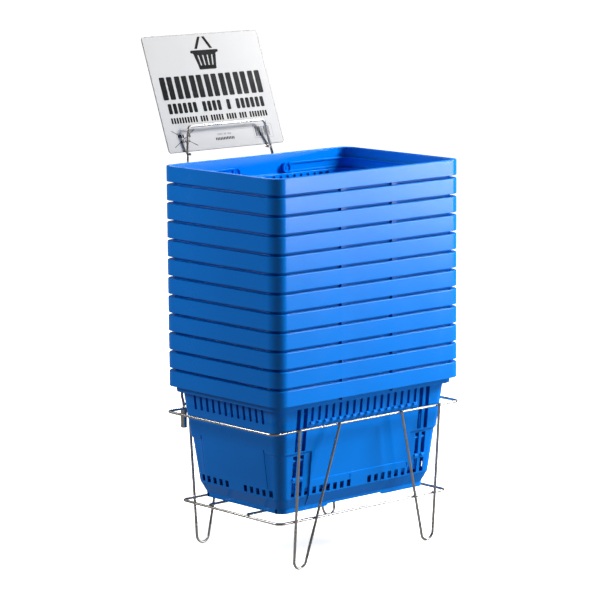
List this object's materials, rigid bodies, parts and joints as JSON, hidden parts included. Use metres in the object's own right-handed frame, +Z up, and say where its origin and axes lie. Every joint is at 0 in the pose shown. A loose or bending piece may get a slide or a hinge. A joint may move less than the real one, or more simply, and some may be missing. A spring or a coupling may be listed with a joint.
{
  "type": "shopping basket stack",
  "caption": "Nested plastic shopping baskets with folding handles on a chrome wire stand, with a sign in a wire holder behind them.",
  "frame": {"origin": "on the floor under the middle of the stack of baskets, at the middle of the four feet", "axes": "+X along the long sides of the baskets, -Y the way the sign faces, +Z up"},
  "size_m": [0.4376, 0.4537, 0.8799],
  "materials": {
    "blue_plastic": "glossy injection-moulded polypropylene",
    "chrome_wire": "bright chrome plating",
    "printed_sign": "glossy printed plastic sheet"
  },
  "bodies": {
    "stand": {"ring_upper": "chrome_wire", "ring_lower": "chrome_wire", "cross_wire_front": "chrome_wire", "cross_wire_back": "chrome_wire", "leg_front_left": "chrome_wire", "leg_front_right": "chrome_wire", "leg_back_left": "chrome_wire", "leg_back_right": "chrome_wire", "sleeve_left": "chrome_wire", "sleeve_right": "chrome_wire"},
    "sign_holder": {"holder_frame": "chrome_wire", "holder_crossbar": "chrome_wire", "holder_rear_support": "chrome_wire"},
    "sign": {"sign_board": "printed_sign"},
    "basket_01_body": {"basket_01": "blue_plastic"},
    "handle_left_01_body": {"handle_left_01": "blue_plastic"},
    "handle_right_01_body": {"handle_right_01": "blue_plastic"},
    "basket_02_body": {"basket_02": "blue_plastic"},
    "handle_left_02_body": {"handle_left_02": "blue_plastic"},
    "handle_right_02_body": {"handle_right_02": "blue_plastic"},
    "basket_03_body": {"basket_03": "blue_plastic"},
    "handle_left_03_body": {"handle_left_03": "blue_plastic"},
    "handle_right_03_body": {"handle_right_03": "blue_plastic"},
    "basket_04_body": {"basket_04": "blue_plastic"},
    "handle_left_04_body": {"handle_left_04": "blue_plastic"},
    "handle_right_04_body": {"handle_right_04": "blue_plastic"},
    "basket_05_body": {"basket_05": "blue_plastic"},
    "handle_left_05_body": {"handle_left_05": "blue_plastic"},
    "handle_right_05_body": {"handle_right_05": "blue_plastic"},
    "basket_06_body": {"basket_06": "blue_plastic"},
    "handle_left_06_body": {"handle_left_06": "blue_plastic"},
    "handle_right_06_body": {"handle_right_06": "blue_plastic"},
    "basket_07_body": {"basket_07": "blue_plastic"},
    "handle_left_07_body": {"handle_left_07": "blue_plastic"},
    "handle_right_07_body": {"handle_right_07": "blue_plastic"},
    "basket_08_body": {"basket_08": "blue_plastic"},
    "handle_left_08_body": {"handle_left_08": "blue_plastic"},
    "handle_right_08_body": {"handle_right_08": "blue_plastic"},
    "basket_09_body": {"basket_09": "blue_plastic"},
    "handle_left_09_body": {"handle_left_09": "blue_plastic"},
    "handle_right_09_body": {"handle_right_09": "blue_plastic"},
    "basket_10_body": {"basket_10": "blue_plastic"},
    "handle_left_10_body": {"handle_left_10": "blue_plastic"},
    "handle_right_10_body": {"handle_right_10": "blue_plastic"},
    "basket_11_body": {"basket_11": "blue_plastic"},
    "handle_left_11_body": {"handle_left_11": "blue_plastic"},
    "handle_right_11_body": {"handle_right_11": "blue_plastic"},
    "basket_12_body": {"basket_12": "blue_plastic"},
    "handle_left_12_body": {"handle_left_12": "blue_plastic"},
    "handle_right_12_body": {"handle_right_12": "blue_plastic"}
  },
  "joints": [
    {"name": "basket_01_lift", "type": "slide", "parent": "stand", "child": "basket_01_body", "axis": [0, 0, 1], "range_m": [0, 0.23]},
    {"name": "handle_left_01_fold", "type": "hinge", "parent": "basket_01_body", "child": "handle_left_01_body", "pos_m": [-0.0585, 0, 0.2907], "axis": [0, 1, 0], "range_deg": [0, 2.5]},
    {"name": "handle_right_01_fold", "type": "hinge", "parent": "basket_01_body", "child": "handle_right_01_body", "pos_m": [0.0585, 0, 0.2907], "axis": [0, -1, 0], "range_deg": [0, 2.5]},
    {"name": "basket_02_lift", "type": "slide", "parent": "basket_01_body", "child": "basket_02_body", "axis": [0, 0, 1], "range_m": [0, 0.23]},
    {"name": "handle_left_02_fold", "type": "hinge", "parent": "basket_02_body", "child": "handle_left_02_body", "pos_m": [-0.0585, 0, 0.3231], "axis": [0, 1, 0], "range_deg": [0, 2.5]},
    {"name": "handle_right_02_fold", "type": "hinge", "parent": "basket_02_body", "child": "handle_right_02_body", "pos_m": [0.0585, 0, 0.3231], "axis": [0, -1, 0], "range_deg": [0, 2.5]},
    {"name": "basket_03_lift", "type": "slide", "parent": "basket_02_body", "child": "basket_03_body", "axis": [0, 0, 1], "range_m": [0, 0.23]},
    {"name": "handle_left_03_fold", "type": "hinge", "parent": "basket_03_body", "child": "handle_left_03_body", "pos_m": [-0.0585, 0, 0.3555], "axis": [0, 1, 0], "range_deg": [0, 2.5]},
    {"name": "handle_right_03_fold", "type": "hinge", "parent": "basket_03_body", "child": "handle_right_03_body", "pos_m": [0.0585, 0, 0.3555], "axis": [0, -1, 0], "range_deg": [0, 2.5]},
    {"name": "basket_04_lift", "type": "slide", "parent": "basket_03_body", "child": "basket_04_body", "axis": [0, 0, 1], "range_m": [0, 0.23]},
    {"name": "handle_left_04_fold", "type": "hinge", "parent": "basket_04_body", "child": "handle_left_04_body", "pos_m": [-0.0585, 0, 0.3879], "axis": [0, 1, 0], "range_deg": [0, 2.5]},
    {"name": "handle_right_04_fold", "type": "hinge", "parent": "basket_04_body", "child": "handle_right_04_body", "pos_m": [0.0585, 0, 0.3879], "axis": [0, -1, 0], "range_deg": [0, 2.5]},
    {"name": "basket_05_lift", "type": "slide", "parent": "basket_04_body", "child": "basket_05_body", "axis": [0, 0, 1], "range_m": [0, 0.23]},
    {"name": "handle_left_05_fold", "type": "hinge", "parent": "basket_05_body", "child": "handle_left_05_body", "pos_m": [-0.0585, 0, 0.4203], "axis": [0, 1, 0], "range_deg": [0, 2.5]},
    {"name": "handle_right_05_fold", "type": "hinge", "parent": "basket_05_body", "child": "handle_right_05_body", "pos_m": [0.0585, 0, 0.4203], "axis": [0, -1, 0], "range_deg": [0, 2.5]},
    {"name": "basket_06_lift", "type": "slide", "parent": "basket_05_body", "child": "basket_06_body", "axis": [0, 0, 1], "range_m": [0, 0.23]},
    {"name": "handle_left_06_fold", "type": "hinge", "parent": "basket_06_body", "child": "handle_left_06_body", "pos_m": [-0.0585, 0, 0.4527], "axis": [0, 1, 0], "range_deg": [0, 2.5]},
    {"name": "handle_right_06_fold", "type": "hinge", "parent": "basket_06_body", "child": "handle_right_06_body", "pos_m": [0.0585, 0, 0.4527], "axis": [0, -1, 0], "range_deg": [0, 2.5]},
    {"name": "basket_07_lift", "type": "slide", "parent": "basket_06_body", "child": "basket_07_body", "axis": [0, 0, 1], "range_m": [0, 0.23]},
    {"name": "handle_left_07_fold", "type": "hinge", "parent": "basket_07_body", "child": "handle_left_07_body", "pos_m": [-0.0585, 0, 0.4851], "axis": [0, 1, 0], "range_deg": [0, 2.5]},
    {"name": "handle_right_07_fold", "type": "hinge", "parent": "basket_07_body", "child": "handle_right_07_body", "pos_m": [0.0585, 0, 0.4851], "axis": [0, -1, 0], "range_deg": [0, 2.5]},
    {"name": "basket_08_lift", "type": "slide", "parent": "basket_07_body", "child": "basket_08_body", "axis": [0, 0, 1], "range_m": [0, 0.23]},
    {"name": "handle_left_08_fold", "type": "hinge", "parent": "basket_08_body", "child": "handle_left_08_body", "pos_m": [-0.0585, 0, 0.5175], "axis": [0, 1, 0], "range_deg": [0, 2.5]},
    {"name": "handle_right_08_fold", "type": "hinge", "parent": "basket_08_body", "child": "handle_right_08_body", "pos_m": [0.0585, 0, 0.5175], "axis": [0, -1, 0], "range_deg": [0, 2.5]},
    {"name": "basket_09_lift", "type": "slide", "parent": "basket_08_body", "child": "basket_09_body", "axis": [0, 0, 1], "range_m": [0, 0.23]},
    {"name": "handle_left_09_fold", "type": "hinge", "parent": "basket_09_body", "child": "handle_left_09_body", "pos_m": [-0.0585, 0, 0.5499], "axis": [0, 1, 0], "range_deg": [0, 2.5]},
    {"name": "handle_right_09_fold", "type": "hinge", "parent": "basket_09_body", "child": "handle_right_09_body", "pos_m": [0.0585, 0, 0.5499], "axis": [0, -1, 0], "range_deg": [0, 2.5]},
    {"name": "basket_10_lift", "type": "slide", "parent": "basket_09_body", "child": "basket_10_body", "axis": [0, 0, 1], "range_m": [0, 0.23]},
    {"name": "handle_left_10_fold", "type": "hinge", "parent": "basket_10_body", "child": "handle_left_10_body", "pos_m": [-0.0585, 0, 0.5823], "axis": [0, 1, 0], "range_deg": [0, 2.5]},
    {"name": "handle_right_10_fold", "type": "hinge", "parent": "basket_10_body", "child": "handle_right_10_body", "pos_m": [0.0585, 0, 0.5823], "axis": [0, -1, 0], "range_deg": [0, 2.5]},
    {"name": "basket_11_lift", "type": "slide", "parent": "basket_10_body", "child": "basket_11_body", "axis": [0, 0, 1], "range_m": [0, 0.23]},
    {"name": "handle_left_11_fold", "type": "hinge", "parent": "basket_11_body", "child": "handle_left_11_body", "pos_m": [-0.0585, 0, 0.6147], "axis": [0, 1, 0], "range_deg": [0, 2.5]},
    {"name": "handle_right_11_fold", "type": "hinge", "parent": "basket_11_body", "child": "handle_right_11_body", "pos_m": [0.0585, 0, 0.6147], "axis": [0, -1, 0], "range_deg": [0, 2.5]},
    {"name": "basket_12_lift", "type": "slide", "parent": "basket_11_body", "child": "basket_12_body", "axis": [0, 0, 1], "range_m": [0, 0.23]},
    {"name": "handle_left_12_fold", "type": "hinge", "parent": "basket_12_body", "child": "handle_left_12_body", "pos_m": [-0.0585, 0, 0.6471], "axis": [0, 1, 0], "range_deg": [0, 110]},
    {"name": "handle_right_12_fold", "type": "hinge", "parent": "basket_12_body", "child": "handle_right_12_body", "pos_m": [0.0585, 0, 0.6471], "axis": [0, -1, 0], "range_deg": [0, 110]},
    {"name": "holder_lift", "type": "slide", "parent": "stand", "child": "sign_holder", "axis": [0, 0, 1], "range_m": [0, 0.028]},
    {"name": "sign_lift", "type": "slide", "parent": "sign_holder", "child": "sign", "axis": [0, 0.3551, 0.9348], "range_m": [0, 0.12]}
  ]
}
